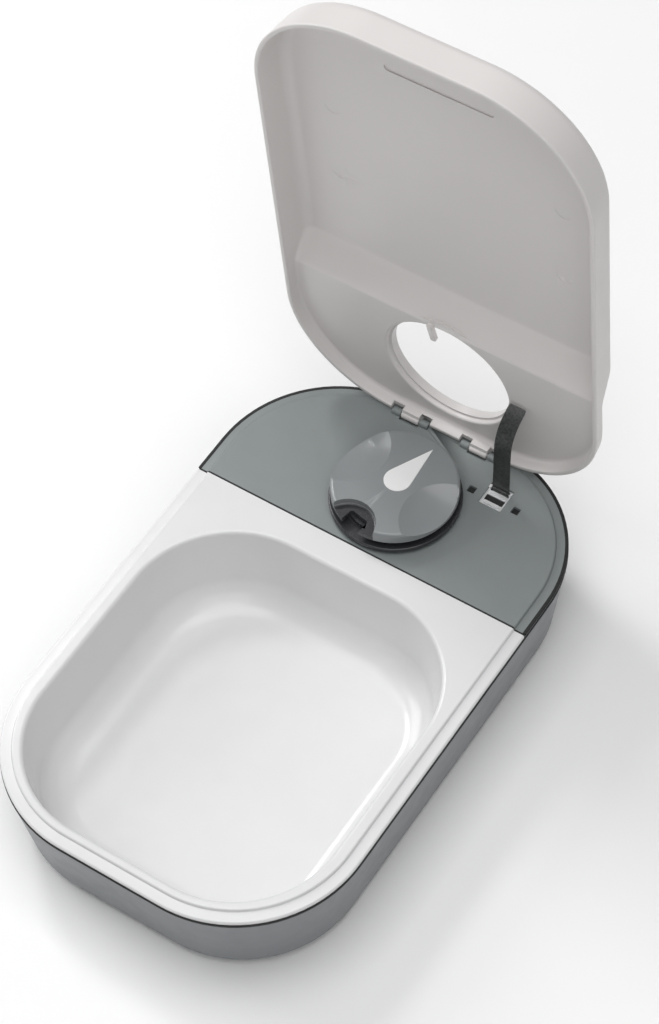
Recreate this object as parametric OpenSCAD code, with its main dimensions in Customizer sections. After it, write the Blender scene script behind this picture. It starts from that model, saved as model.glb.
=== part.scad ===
// Single-meal automatic pet feeder with a timer dial and a spring-opened lid.
// Frame: millimetres, +Z up, +X to the right seen from the bowl end, +Y towards the hinge.
// The origin is on the ground under the middle of the base. The lid is drawn open.

/* [Base] */
// Width of the base at the seal line
body_w = 190; // [184:1:196]
// Length of the base at the seal line
body_l = 300; // [296:1:306]
// Corner radius of the base at the seal line
corner_r = 66.5; // [64:0.5:68]
// Height of the feet below the tub
foot_h = 2.5; // [2:0.5:3]
// Height of the tub's top edge above the ground
tub_top = 49.5; // [49:0.5:50.5]
// Inward lean of the skirt from its top to its bottom
skirt_lean = 5.8; // [4:0.2:7]
// Wall thickness of the main mouldings
wall = 2.5; // [2.2:0.1:2.8]

/* [Rim] */
// Height of the black seal between the tub and the upper mouldings
seal_h = 2.0; // [1.8:0.1:2.2]
// Height of the outer ledge above the seal
ledge_h = 2.5; // [2.4:0.1:2.7]
// Width of the outer ledge
ledge_w = 5.7; // [5.2:0.1:6]
// Rise of the raised band above the outer ledge
band_h = 1.6; // [1.4:0.1:1.8]

/* [Bowl] */
// Width of the bowl's opening
open_w = 166.4; // [162:0.2:168]
// Corner radius of the bowl's opening
open_r = 54.7; // [50:0.1:58]
// Distance from the front end of the base to the opening
open_front = 9.8; // [9:0.1:11]
// Distance from the front end of the base to the back of the opening
open_back = 195.7; // [192:0.1:197]
// Height of the bowl's inner floor above the ground
bowl_floor = 10.5; // [10:0.5:14]
// Inward lean of the bowl's wall from rim to floor
bowl_lean = 5; // [3:0.5:7]

/* [Deck] */
// Distance from the middle of the base to the joint between bowl and deck
joint_y = 61.3; // [61:0.1:61.6]

/* [Lid] */
// Inset of the lid's rim from the sides and front of the base
lid_inset = 6.5; // [6.3:0.1:7]
// Inset of the lid's rim from the rear end of the base
lid_rear_inset = 9.5; // [9.3:0.1:10]
// Outer height of the lid over the bowl
lid_deep = 20.5; // [20:0.5:24]
// Outer height of the lid over the deck
lid_low = 9; // [9:0.1:9.2]
// Angle through which the lid swings between open and closed
lid_swing = 86.8; // [86:0.1:88]
// Radius of the hole that the dial stands in
hole_r = 35; // [34.8:0.1:35.5]
// Height of the collar's outer edge above the lid's rim
collar_h = 14; // [13:0.5:15]
// Angle of the catch tooth from the front of the hole
tooth_angle = 11; // [9:0.5:13]

/* [Dial] */
// Distance from the middle of the base to the dial's axis
dial_y = 95.5; // [95.3:0.1:96]
// Radius of the dial's lower flange
dial_r = 33.2; // [32.5:0.1:33.4]
// Radius of the dial's upper disc
disc_r = 32; // [31.5:0.1:32.2]
// Turn of the dial's notch from the front, as drawn
dial_turn = 12; // [10:0.5:14]

/* [Leaf spring] */
// Distance of the leaf spring from the middle of the base
leaf_x = 41.5; // [41:0.5:43]
// Width of the leaf spring
leaf_w = 9.6; // [9:0.2:10]
// Thickness of the leaf spring
leaf_t = 0.9; // [0.7:0.1:1]
// Length of the leaf from its foot to the bend
leaf_low = 37.8; // [37:0.2:38.4]
// Length of the leaf from the bend to its tip
leaf_high = 19.2; // [18:0.2:20]
// Angle of the lower leaf from the forward direction, as drawn
leaf_low_angle = 93.3; // [92:0.1:94]
// Angle of the upper leaf from the forward direction, as drawn
leaf_high_angle = 141; // [139:1:142]

/* [Timer] */
// Teeth on each large wheel
wheel_teeth = 56; // [56:1:56]
// Teeth on each pinion
pinion_teeth = 14; // [14:1:14]
// Diameter of the battery cell
cell_d = 14.2; // [14:0.1:14.3]
// Length of the battery cell without its terminal
cell_l = 49; // [48.5:0.1:49.5]

/* [Hidden] */
$fn = 96;
eps = 0.01;

// Heights
floor_z = foot_h;
floor_top = floor_z + wall;
seal_top = tub_top + seal_h;
ledge_z = seal_top + ledge_h;
band_z = ledge_z + band_h;

// Corner centres shared by the base, the seal and the upper mouldings
spine_x = body_w / 2 - corner_r;
spine_y = body_l / 2 - corner_r;
band_r = corner_r - ledge_w;

// Lid
lid_gap = 0.3;
lid_z = band_z + lid_gap;
lid_r = corner_r - lid_inset;
lid_back = body_l / 2 - lid_rear_inset;
lid_lean = 1.6;
lid_top = lid_z + lid_deep;
low_top = lid_z + lid_low;
low_under = low_top - wall;
step_back = 58;
step_front = 44;

// Hinge
hinge_y = lid_back + 0.5;
hinge_z = lid_z + 0.4;
pin_r = 1.2;
knuckle_r = 2.4;
hinge_x = 20;
arm_w = 10;
knuckle_w = 5;
heel_y = hinge_y + 2.2;

// Dial levels
flange_z = band_z + 1.4;
groove_z = flange_z + 2.6;
disc_z = groove_z + 3.6;
dial_top = 70;
shaft_r = 3;
run = 0.05;

// Timer movement
case_x0 = -42;
case_x1 = 44;
case_y0 = 70;
case_y1 = 137.6;
case_z0 = floor_top + 1.5;
case_z1 = 22;
cover_t = 2;
case_wall = 2;
case_floor = 1.8;
fit_gap = 0.1;
output_module = 0.7;
third_module = 0.5;
second_module = 0.4;
arbor_r = 0.75;
function centre_distance(m) = m * (wheel_teeth + pinion_teeth) / 2 + fit_gap;
third_dir = -20;
second_dir = 95;
rotor_dir = 190;
dial_at = [0, dial_y];
third_at = dial_at + centre_distance(output_module) * [cos(third_dir), sin(third_dir)];
second_at = third_at + centre_distance(third_module) * [cos(second_dir), sin(second_dir)];
rotor_at = second_at + centre_distance(second_module) * [cos(rotor_dir), sin(rotor_dir)];
output_z = 16.6;
third_z = 12.9;
second_z = 9.6;
stator_z = 11.7;
stator_t = 0.8;
cell_y = 128;
cell_z = 14.8;
bay_wall_y = 119.2;

// Screw places
deck_screw_at = [[-72, 76], [72, 76], [-50, 128], [56, 122]];
case_screw_at = [[-38.5, 73.5], [40.5, 73.5], [-38.5, 114.5], [40.5, 114.5]];
foot_at = [[-52, -112], [52, -112], [-58, 106], [58, 106]];
cover_screw_at = [36.5, cell_y];

// ---------- shared shapes ----------

// Sweeps a wall section, drawn as distance from the corner centre against height,
// round a rectangle with round corners whose corner centres are at sx and at ya and yb.
module sweep(sx, ya, yb) {
    for (side = [0, 1]) mirror([side, 0, 0]) {
        translate([sx, yb, 0]) rotate_extrude(angle = 90) children();
        translate([sx, ya, 0]) rotate([0, 0, -90]) rotate_extrude(angle = 90) children();
        translate([sx, yb, 0]) rotate([90, 0, 0]) linear_extrude(yb - ya) children();
    }
    translate([-sx, yb, 0]) rotate([90, 0, 90]) linear_extrude(2 * sx) children();
    translate([-sx, ya, 0]) mirror([0, 1, 0]) rotate([90, 0, 90])
        linear_extrude(2 * sx) children();
}

// A solid block with round corners, whose side has the given section
module block(sx, ya, yb, section, z0, z1) {
    sweep(sx, ya, yb) polygon(section);
    translate([-sx, ya, z0]) cube([2 * sx, yb - ya, z1 - z0]);
}

// Section that leans in going up and is rounded at the top
function crown(r, z0, lean, z1, f) = concat(
    [[0, z0], [r, z0]],
    [for (a = [0 : 15 : 90]) [r - lean - f + f * cos(a), z1 - f + f * sin(a)]],
    [[0, z1]]);

// Section that leans in going down and is rounded at the bottom
function keel(r, z0, lean, z1, f) = concat(
    [[0, z0]],
    [for (a = [-90 : 15 : 0]) [r - lean - f + f * cos(a), z0 + f + f * sin(a)]],
    [[r, z1], [0, z1]]);

// Upright post
module post(at, r, z0, z1) {
    translate([at[0], at[1], z0]) cylinder(h = z1 - z0, r = r);
}

// Pan-head screw pointing up from z0, with its head below
module screw_up(at, r, head_r, head_h, z0, z1) {
    difference() {
        union() {
            post(at, head_r, z0 - head_h, z0);
            post(at, r, z0 - eps, z1);
        }
        for (a = [0, 90])
            translate([at[0], at[1], z0 - head_h]) rotate(a)
                cube([head_r * 1.1, 0.7, 1.4], center = true);
    }
}

// Involute spur gear outline with a tooth on the +X axis
pressure_angle = 20;
tooth_play = 0.1;
function roll(rb, r) = sqrt(max(0, pow(r / rb, 2) - 1));
function flank_angle(rb, r) = roll(rb, r) * 180 / PI - atan(roll(rb, r));
function tooth_half(m, n, r) = 90 / n - tooth_play * 90 / (PI * n)
    + flank_angle(m * n / 2 * cos(pressure_angle), m * n / 2)
    - flank_angle(m * n / 2 * cos(pressure_angle), max(r, m * n / 2 * cos(pressure_angle)));
function polar(r, a) = [r * cos(a), r * sin(a)];
function tooth_radii(m, n) = let (root = m * (n / 2 - 1.15), tip = m * (n / 2 + 0.85),
    low = max(root, m * n / 2 * cos(pressure_angle)))
    [root, low, low + (tip - low) * 0.33, low + (tip - low) * 0.67, tip];
module gear(m, n, thickness) {
    radii = tooth_radii(m, n);
    linear_extrude(thickness) polygon([for (k = [0 : n - 1]) each concat(
        [for (r = radii) polar(r, k * 360 / n - tooth_half(m, n, r))],
        [for (i = [4 : -1 : 0]) polar(radii[i], k * 360 / n + tooth_half(m, n, radii[i]))])]);
}

// ---------- base ----------

tub_r = corner_r;
tub_inner_r = corner_r - wall;
cross_wall_y = 59.6;

module base_shell() {
    difference() {
        block(spine_x, -spine_y, spine_y,
              keel(tub_r, floor_z, skirt_lean, tub_top, 6), floor_z, tub_top);
        block(spine_x, -spine_y, spine_y,
              keel(tub_inner_r, floor_top, skirt_lean, tub_top + 1, 4), floor_top, tub_top + 1);
    }
}

cover_l = 78;
cover_w = 18.4;
cover_x = 3;

module base_tub() {
    color("#83878b") difference() {
        union() {
            base_shell();
            // wall between the bowl's bay and the timer's bay
            intersection() {
                translate([-body_w / 2, cross_wall_y, floor_top - eps])
                    cube([body_w, wall, tub_top - floor_top - 1]);
                block(spine_x, -spine_y, spine_y,
                      keel(tub_inner_r + eps, floor_z, skirt_lean, tub_top, 4), floor_z, tub_top);
            }
            for (p = deck_screw_at) post(p, 5, floor_top - eps, 14);
            for (p = case_screw_at) post(p, 3.2, floor_top - eps, case_z0);
            for (p = foot_at) post(p, 9.5, floor_top - eps, floor_top + 1.2);
        }
        for (p = deck_screw_at) {
            post(p, 1.8, floor_z - 1, 15);
            post(p, 3.6, floor_z - 1, 10);
        }
        for (p = case_screw_at) {
            post(p, 1.3, floor_z - 1, case_z0 + 1);
            post(p, 2.5, floor_z - 1, floor_z + 2);
        }
        for (p = foot_at) post(p, 8.05, floor_z - 1, floor_z + 1.2);
        // battery door: a stepped opening
        translate([cover_x - cover_l / 2, cell_y - cover_w / 2, floor_z - 1])
            cube([cover_l, cover_w, 2.5]);
        translate([cover_x - 60 / 2 - 1.5, cell_y - 8.2, floor_z - 1]) cube([57, 16.4, 6]);
        post(cover_screw_at, 1.1, floor_z - 1, floor_top + 1);
    }
}

module rim_seal() {
    color("#1a1b1c") sweep(spine_x, -spine_y, spine_y)
        polygon([[corner_r - wall, tub_top], [corner_r - 0.2, tub_top],
                 [corner_r + 0.25, tub_top + 0.5], [corner_r + 0.25, seal_top - 0.5],
                 [corner_r - 0.2, seal_top], [corner_r - wall, seal_top]]);
}

module rubber_feet() {
    color("#202122") for (p = foot_at) {
        post(p, 8, 0.8, floor_z + 1.1);
        translate([p[0], p[1], 0]) cylinder(h = 0.8 + eps, r1 = 7.2, r2 = 8);
    }
}

// ---------- upper mouldings ----------

// Rim in two levels that runs round the whole top: outer ledge and raised band
module rim_solid() {
    block(spine_x, -spine_y, spine_y,
          crown(corner_r, seal_top, 0, ledge_z, 0.8), seal_top, ledge_z);
    block(spine_x, -spine_y, spine_y,
          crown(band_r, seal_top, 0.2, band_z, 0.8), seal_top, band_z);
}

module rim_hollow() {
    block(spine_x, -spine_y, spine_y,
          crown(band_r - wall, seal_top - 1, 0, band_z - wall, 0.5),
          seal_top - 1, band_z - wall);
}

bowl_back = joint_y - 0.3;
open_spine_x = open_w / 2 - open_r;
open_ya = -body_l / 2 + open_front + open_r;
open_yb = -body_l / 2 + open_back - open_r;
bowl_wall = 2.2;

module bowl_inside() {
    block(open_spine_x, open_ya, open_yb,
          concat([[0, bowl_floor]],
                 [for (a = [-90 : 15 : -5]) [open_r - bowl_lean - 16 + 16 * cos(a),
                                             bowl_floor + 16 + 16 * sin(a)]],
                 [[open_r - 0.6, band_z - 1], [open_r + 0.4, band_z + 1], [0, band_z + 1]]),
          bowl_floor, band_z + 1);
}

module bowl() {
    color("#f2f2f3") difference() {
        union() {
            intersection() {
                difference() {
                    rim_solid();
                    rim_hollow();
                }
                translate([-body_w, -body_l, 0]) cube([2 * body_w, body_l + bowl_back, 100]);
            }
            // down-turned edge along the joint
            translate([-(spine_x + band_r - wall), bowl_back - 2, seal_top])
                cube([2 * (spine_x + band_r - wall), 2, band_z - wall - seal_top + 0.2]);
            block(open_spine_x, open_ya, open_yb,
                  concat([[0, bowl_floor - bowl_wall]],
                         [for (a = [-90 : 15 : -5])
                             [open_r + bowl_wall - bowl_lean - 18 + 18 * cos(a),
                              bowl_floor - bowl_wall + 18 + 18 * sin(a)]],
                         [[open_r + bowl_wall - 0.4, band_z - 1.2], [0, band_z - 1.2]]),
                  bowl_floor - bowl_wall, band_z - 1.2);
        }
        bowl_inside();
    }
}

deck_front = joint_y + 0.3;
pad_y = 120;
pad_l = 13.6;
pad_w = 12.6;
pad_z = band_z - 1.8;
module control_deck() {
    color("#8b9292") difference() {
        union() {
            intersection() {
                union() {
                    difference() {
                        rim_solid();
                        rim_hollow();
                    }
                    // locating lip inside the tub
                    difference() {
                        block(spine_x, -spine_y, spine_y,
                              [[0, 46], [corner_r - 3.4, 46], [corner_r - 3.1, seal_top + eps],
                               [0, seal_top + eps]], 46, seal_top + eps);
                        block(spine_x, -spine_y, spine_y,
                              [[0, 45], [corner_r - 5.6, 45], [corner_r - 5.6, seal_top + 1],
                               [0, seal_top + 1]], 45, seal_top + 1);
                    }
                }
                translate([-body_w, deck_front + 1.2, 0]) cube([2 * body_w, body_l, 100]);
            }
            intersection() {
                rim_solid();
                translate([-body_w, deck_front, seal_top]) cube([2 * body_w, 2.5, 20]);
            }
            for (p = deck_screw_at) post(p, 4.5, 14.3, band_z - 1);
            post(dial_at, 8.5, 40, band_z + 0.6);
            // seat of the leaf spring under the deck
            translate([leaf_x - 16, pad_y - 6, 47]) cube([32, 17, band_z - 48]);
            // solid bars under the hinge pockets
            for (s = [-1, 1]) translate([s * hinge_x - 13, hinge_y - 5.5, 49.5])
                cube([26, 7.5, band_z - 50]);
            for (s = [-1, 1], t = [-1, 1]) hinge_knuckle(s, t);
        }
        for (p = deck_screw_at) post(p, 1.52, 13, 32);
        post(dial_at, 5.02, 39, band_z + 2);
        for (s = [-1, 1]) {
            // pockets that the lid's arms turn in
            translate([s * hinge_x - arm_w / 2 - 0.4, hinge_y - 3.2, hinge_z - 2.9])
                cube([arm_w + 0.8, 6.5, 10]);
            translate([s * hinge_x, hinge_y, hinge_z]) rotate([0, 90, 0])
                cylinder(h = arm_w + 2 * knuckle_w - 1, r = pin_r + 0.02, center = true);
        }
        // seat for the spring clip, the well that the leaf's foot turns in, and two square holes
        translate([leaf_x - pad_w / 2 - run, pad_y - 4.4 - run, pad_z])
            cube([pad_w + 2 * run, pad_l + 2 * run, 5]);
        translate([leaf_x - 5.2, leaf_foot[0] - 1.8, band_z - 4]) cube([10.4, 3.6, 10]);
        for (s = [-1, 1]) translate([leaf_x + s * 12.6 - 2, pad_y - 2, 46]) cube([4, 4, 20]);
    }
}

// Knuckle that holds one end of a hinge pin: s picks the hinge, t the side of the arm
module hinge_knuckle(s, t) {
    translate([s * hinge_x + t * (arm_w / 2 + 0.4 + knuckle_w / 2), hinge_y, 0]) {
        translate([0, 0, hinge_z]) rotate([0, 90, 0])
            cylinder(h = knuckle_w, r = knuckle_r, center = true);
        translate([-knuckle_w / 2, -knuckle_r, band_z - 1])
            cube([knuckle_w, 2 * knuckle_r, hinge_z - band_z + 1]);
    }
}

module deck_screws() {
    color("#9a9da0") for (p = deck_screw_at) screw_up(p, 1.5, 3.2, 2.2, 9.95, 30);
}

module hinge_pins() {
    color("#b9bcc0") for (s = [-1, 1])
        translate([s * hinge_x, hinge_y, hinge_z]) rotate([0, 90, 0])
            cylinder(h = arm_w + 2 * knuckle_w - 2, r = pin_r, center = true);
}

// ---------- lid ----------

lid_yb = lid_back - lid_r;
lid_spine_y = -spine_y;

module lid_form(grow, lift) {
    // shallow part over the whole outline
    block(spine_x, lid_spine_y, lid_yb,
          crown(lid_r + grow, lid_z - lift, lid_lean * 0.4, low_top + grow, 3.5 + grow / 2),
          lid_z - lift, low_top + grow);
    // deep part in front of the sloping step
    intersection() {
        block(spine_x, lid_spine_y, lid_yb,
              crown(lid_r + grow, lid_z - lift, lid_lean, lid_top + grow, 6 + grow / 2),
              lid_z - lift, lid_top + grow);
        rotate([90, 0, 90]) linear_extrude(2 * body_w, center = true)
            polygon([[-body_l, 0], [step_back - grow * 0.4, 0],
                     [step_back - grow * 0.4, low_top + grow],
                     [step_front - grow * 0.4, lid_top + grow], [-body_l, lid_top + grow]]);
    }
}

module lid_closed() {
    difference() {
        union() {
            difference() {
                union() {
                    lid_form(0, 0);
                    post(dial_at, hole_r + 2.2, low_under, lid_z + collar_h);
                }
                lid_form(-wall, 1);
                post(dial_at, hole_r, lid_z, lid_top);
            }
            // catch tooth that hooks under the dial's disc
            translate([0, dial_y, 0]) rotate(-tooth_angle)
                translate([-1.5, -hole_r - 3, groove_z + 0.8])
                    cube([3, 11, low_under - groove_z - 0.8 + 0.2]);
            // hinge arms with their heels
            for (s = [-1, 1]) translate([s * hinge_x, 0, 0]) lid_arm();
        }
        for (s = [-1, 1]) {
            // gaps in the rear wall for the deck's knuckles
            for (t = [-1, 1])
                translate([s * hinge_x + t * (arm_w / 2 + 3.2) - 3.2, lid_back - 6, lid_z - 1])
                    cube([6.4, 8, 4.4]);
            translate([s * hinge_x, hinge_y, hinge_z]) rotate([0, 90, 0])
                cylinder(h = arm_w + 2, r = pin_r + run, center = true);
        }
    }
}

module lid_arm() {
    translate([0, hinge_y, hinge_z]) rotate([0, 90, 0])
        cylinder(h = arm_w, r = knuckle_r, center = true);
    translate([-arm_w / 2, lid_back - 3.2, hinge_z]) cube([arm_w, heel_y - lid_back + 3.2, 6]);
}

// Turns a shape drawn with the lid closed into the open position
module opened(a = lid_swing) {
    translate([0, hinge_y, hinge_z]) rotate([-a, 0, 0])
        translate([0, -hinge_y, -hinge_z]) children();
}

module lid() {
    color("#ecebea") opened() lid_closed();
}

// ---------- dial ----------

scoop_edge = 11;
scoop_mid = 32.9;
scoop_depth = 4.6;
scoop_half = scoop_mid - scoop_edge;
scoop_ball = (pow(scoop_half, 2) + pow(scoop_depth, 2)) / (2 * scoop_depth);

module dial_knob() {
    color("#767b7e") translate([0, dial_y, 0]) rotate(-dial_turn) difference() {
        rotate_extrude() polygon(concat(
            [[0, flange_z], [dial_r - 0.6, flange_z], [dial_r, flange_z + 0.6],
             [dial_r, groove_z - 0.6], [dial_r - 0.6, groove_z],
             [26, groove_z], [26, disc_z], [disc_r - 0.4, disc_z], [disc_r, disc_z + 0.4]],
            [for (a = [0 : 15 : 90]) [disc_r - 1.6 + 1.6 * cos(a), dial_top - 1.6 + 1.6 * sin(a)]],
            [[0, dial_top]]));
        // finger scoops on both sides of the ridge
        for (s = [-1, 1]) translate([s * scoop_mid, 0, dial_top + scoop_ball - scoop_depth])
            sphere(r = scoop_ball, $fn = 128);
        // wide scallop and, inside it, the slot that lets the tooth out
        translate([0, -33, disc_z + 3]) cylinder(h = 10, r = 14);
        translate([-5.5, -40, disc_z - eps]) cube([11, 40 - 24.3, 10]);
        // hollow underside round the hub
        difference() {
            translate([0, 0, flange_z - 1]) cylinder(h = disc_z - 1 - flange_z, r = 23.5);
            translate([0, 0, flange_z - 2]) cylinder(h = 20, r = 7);
        }
        // bore for the shaft
        translate([0, 0, flange_z - 1]) cylinder(h = 67 - flange_z, r = shaft_r + 0.02);
        pointer_form(0.02);
    }
}

pointer_ball = 7;
pointer_tip = 25;
// Teardrop: a round bulb at the origin drawn out to a point along +X
module pointer_outline(grow) {
    r = pointer_ball + grow;
    tip = pointer_tip + grow;
    side = acos(r / tip);
    polygon(concat([[tip, 0]],
                   [for (k = [0 : 24]) polar(r, side + (360 - 2 * side) * k / 24)]));
}
module pointer_form(grow) {
    translate([0, 2, dial_top - 1.2 - grow]) rotate(90) linear_extrude(3) pointer_outline(grow);
}

module dial_pointer() {
    color("#f6f6f6") translate([0, dial_y, 0]) rotate(-dial_turn)
        translate([0, 2, dial_top - 1.2]) rotate(90) linear_extrude(1.4) pointer_outline(0);
}

collar_z = 14.2;
module dial_shaft() {
    color("#c9ccd0") {
        difference() {
            post(dial_at, shaft_r, case_z0 + 0.6, 65.8);
            translate([0, dial_y, 20.35]) difference() {
                cylinder(h = 0.6, r = shaft_r + 1);
                translate([0, 0, -1]) cylinder(h = 3, r = 2.4);
            }
        }
        post(dial_at, 5.5, collar_z, collar_z + 1);
    }
}

module shaft_bush() {
    color("#c7a45a") difference() {
        union() {
            post(dial_at, 5, 40, band_z + 0.6);
            post(dial_at, 6.6, band_z + 0.6, band_z + 1.2);
        }
        post(dial_at, shaft_r + run, 39, band_z + 3);
    }
}

// ---------- timer train ----------

module output_wheel() {
    color("#e9e6da") translate([0, dial_y, 0]) difference() {
        union() {
            translate([0, 0, output_z]) rotate(third_dir)
                gear(output_module, wheel_teeth, 2);
            translate([0, 0, collar_z + 1.05]) cylinder(h = 3.9, r = 6.6);
        }
        translate([0, 0, 10]) cylinder(h = 20, r = shaft_r + run);
        for (a = [0 : 72 : 359]) rotate(a) translate([12.6, 0, 10]) cylinder(h = 20, r = 3.6);
    }
}

module clutch_spring() {
    color("#a8abad") translate([0, dial_y, 19.2]) difference() {
        union() {
            cylinder(h = 0.35, r = 6);
            cylinder(h = 1.05, r = 4.2);
        }
        translate([0, 0, -1]) cylinder(h = 4, r = shaft_r + run);
        for (a = [0 : 60 : 359]) rotate(a) translate([6.4, 0, -1]) cylinder(h = 4, r = 1.2);
    }
}

module shaft_clip() {
    color("#8d9093") translate([0, dial_y, 20.4]) difference() {
        cylinder(h = 0.5, r = 4.6);
        translate([0, 0, -1]) cylinder(h = 3, r = 2.45);
        translate([0, -1.6, -1]) cube([6, 3.2, 3]);
    }
}

// Wheel and pinion on one hub, turning on a fixed arbor
module compound(at, wheel_m, wheel_z, wheel_t, pinion_m, pinion_z, pinion_t,
                wheel_dir, pinion_dir, z0, z1) {
    translate([at[0], at[1], 0]) difference() {
        union() {
            translate([0, 0, wheel_z]) rotate(wheel_dir) gear(wheel_m, wheel_teeth, wheel_t);
            translate([0, 0, pinion_z]) rotate(pinion_dir + 180 + 180 / pinion_teeth)
                gear(pinion_m, pinion_teeth, pinion_t);
            translate([0, 0, z0]) cylinder(h = z1 - z0, r = 1.9);
        }
        translate([0, 0, z0 - 1]) cylinder(h = z1 - z0 + 2, r = arbor_r + run);
    }
}

module third_wheel() {
    color("#e3dfd0") compound(third_at, third_module, third_z, 1.2,
        output_module, output_z - 0.6, 3.2, second_dir, third_dir, third_z - 2, 20.6);
}

module second_wheel() {
    color("#e3dfd0") compound(second_at, second_module, second_z, 1,
        third_module, third_z - 0.6, 2.4, rotor_dir, second_dir, second_z - 0.7, 17);
}

module rotor_pinion() {
    color("#e9e6da") translate([rotor_at[0], rotor_at[1], 0]) difference() {
        union() {
            translate([0, 0, second_z - 0.4]) rotate(rotor_dir + 180 + 180 / pinion_teeth)
                gear(second_module, pinion_teeth, 1.8);
            translate([0, 0, second_z + 1.3]) cylinder(h = 3.6, r = 1.5);
        }
        translate([0, 0, 5]) cylinder(h = 20, r = arbor_r + run);
    }
}

module rotor_magnet() {
    color("#5b5d60") translate([rotor_at[0], rotor_at[1], second_z + 1.55]) difference() {
        cylinder(h = 3.1, r = 3);
        translate([0, 0, -1]) cylinder(h = 6, r = 1.5 + 0.02);
    }
}

module wheel_arbors() {
    color("#c9ccd0") {
        post(third_at, arbor_r, case_z0 + 1, case_z1 + 0.8);
        post(second_at, arbor_r, case_z0 + 1, 19);
        post(rotor_at, arbor_r, case_z0 + 1, 15.6);
    }
}

core_y = 115;
core_x = -19;
module stator() {
    color("#7d8083") translate([0, 0, stator_z]) linear_extrude(stator_t) difference() {
        union() {
            translate(rotor_at) circle(r = 5.6);
            translate([rotor_at[0] - 1, rotor_at[1] + 3]) square([4, core_y - rotor_at[1] - 1]);
            translate([core_x, core_y - 2]) square([rotor_at[0] + 3 - core_x, 4]);
            translate([core_x, rotor_at[1] - 0.6]) square([4, core_y - rotor_at[1] + 1]);
            translate([core_x, rotor_at[1] - 0.6]) square([rotor_at[0] - core_x - 4, 3.6]);
        }
        translate(rotor_at) circle(r = 3.5);
    }
}

module along_core(x0, x1, r) {
    translate([x0, core_y, stator_z + stator_t / 2]) rotate([0, 90, 0])
        cylinder(h = x1 - x0, r = r);
}

module coil_bobbin() {
    color("#2f3133") difference() {
        union() {
            along_core(-13.6, 3.4, 2.9);
            along_core(-13.6, -12.6, 3.7);
            along_core(2.4, 3.4, 3.7);
        }
        translate([-20, core_y - 2.05, stator_z - 0.05]) cube([40, 4.1, stator_t + 0.1]);
    }
}

module coil_winding() {
    color("#b5652f") difference() {
        along_core(-12.55, 2.35, 3.5);
        along_core(-13, 3, 2.95);
    }
}

module circuit_board() {
    color("#2f6b45") difference() {
        translate([-37.5, 78, 9.6]) cube([15.5, 32, 1.2]);
        for (y = [81, 107]) translate([-34.5, y, 9]) cylinder(h = 3, r = 1.3);
    }
    color("#17181a") translate([-29, 92, 10.8 - eps]) cylinder(h = 1.4, r = 3.4);
}

module quartz_crystal() {
    color("#d0d2d4") {
        translate([-26, 100, 12.4]) rotate([-90, 0, 0]) cylinder(h = 8, r = 1.5);
        for (s = [-1, 1]) translate([-26 + s * 0.5, 97.6, 10.8]) cube([0.3, 2.5, 1.7]);
    }
}

module movement_case() {
    color("#d9dadb") difference() {
        union() {
            difference() {
                translate([case_x0, case_y0, case_z0])
                    cube([case_x1 - case_x0, case_y1 - case_y0, case_z1 - case_z0]);
                translate([case_x0 + case_wall, case_y0 + case_wall, case_z0 + case_floor])
                    cube([case_x1 - case_x0 - 2 * case_wall, case_y1 - case_y0 - 2 * case_wall, 30]);
            }
            // wall between the wheels and the battery
            translate([case_x0 + 1, bay_wall_y, case_z0 + 1])
                cube([case_x1 - case_x0 - 2, 1.2, case_z1 - case_z0 - 1]);
            for (p = case_screw_at) post(p, 3.4, case_z0 + 1, case_z1);
            for (p = [third_at, second_at, rotor_at]) post(p, 1.6, case_z0 + 1, second_z - 0.9);
            post(dial_at, 4.4, case_z0 + 1, collar_z - 0.15);
            for (y = [81, 107]) {
                post([-34.5, y], 2.6, case_z0 + 1, 9.6);
                post([-34.5, y], 1.25, 9, 11.6);
            }
            // pegs that carry the stator
            post([core_x + 2, core_y], 2.4, case_z0 + 1, stator_z);
            post([rotor_at[0] + 1, core_y], 1.6, case_z0 + 1, stator_z);
        }
        for (p = case_screw_at) post(p, 1.22, case_z0 - 1, case_z1 + 1);
        for (p = [third_at, second_at, rotor_at]) post(p, arbor_r + 0.01, case_z0 + 1, case_z1);
        post(dial_at, shaft_r + run, case_z0 + 0.5, case_z1);
        // the battery comes in from below
        translate([-26.5, cell_y - 7.6, case_z0 - 1]) cube([55.5, 15.2, 6]);
    }
}

module movement_cover() {
    color("#cfd0d1") difference() {
        translate([case_x0, case_y0, case_z1])
            cube([case_x1 - case_x0, case_y1 - case_y0, cover_t]);
        post(dial_at, 5.2, case_z1 - 1, 30);
        post(third_at, arbor_r + 0.02, case_z1 - 1, case_z1 + 1);
        for (p = case_screw_at) post(p, 1.22, case_z1 - 1, 30);
    }
}

module movement_screws() {
    color("#9a9da0") for (p = case_screw_at) screw_up(p, 1.2, 2.3, 1.5, floor_z + 1.98, 23.5);
}

// ---------- battery ----------

cell_x0 = -22.5;
module battery_cell() {
    color("#3f6fa0") translate([cell_x0, cell_y, cell_z]) rotate([0, 90, 0])
        cylinder(h = cell_l, r = cell_d / 2);
    color("#c9ccd0") translate([cell_x0 + cell_l, cell_y, cell_z]) rotate([0, 90, 0])
        cylinder(h = 1.2, r = 2.7);
}

module battery_spring() {
    color("#c9ccd0") {
        translate([-26.3, cell_y - 5, cell_z - 5]) cube([0.5, 10, 10]);
        for (k = [0 : 2]) translate([-25.1 + k * 0.95, cell_y, cell_z]) rotate([0, 90, 0])
            rotate_extrude() translate([4 - k * 0.7, 0]) circle(r = 0.35, $fn = 16);
        translate([-25.85, cell_y - 0.3, cell_z + 2.6]) cube([2.9, 0.6, 0.6]);
    }
}

module battery_plate() {
    color("#c9ccd0") difference() {
        translate([27.9, cell_y - 5, cell_z - 5]) cube([0.6, 10, 10]);
        translate([27, cell_y, cell_z + 3.6]) rotate([0, 90, 0]) cylinder(h = 3, r = 0.8);
    }
}

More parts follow.
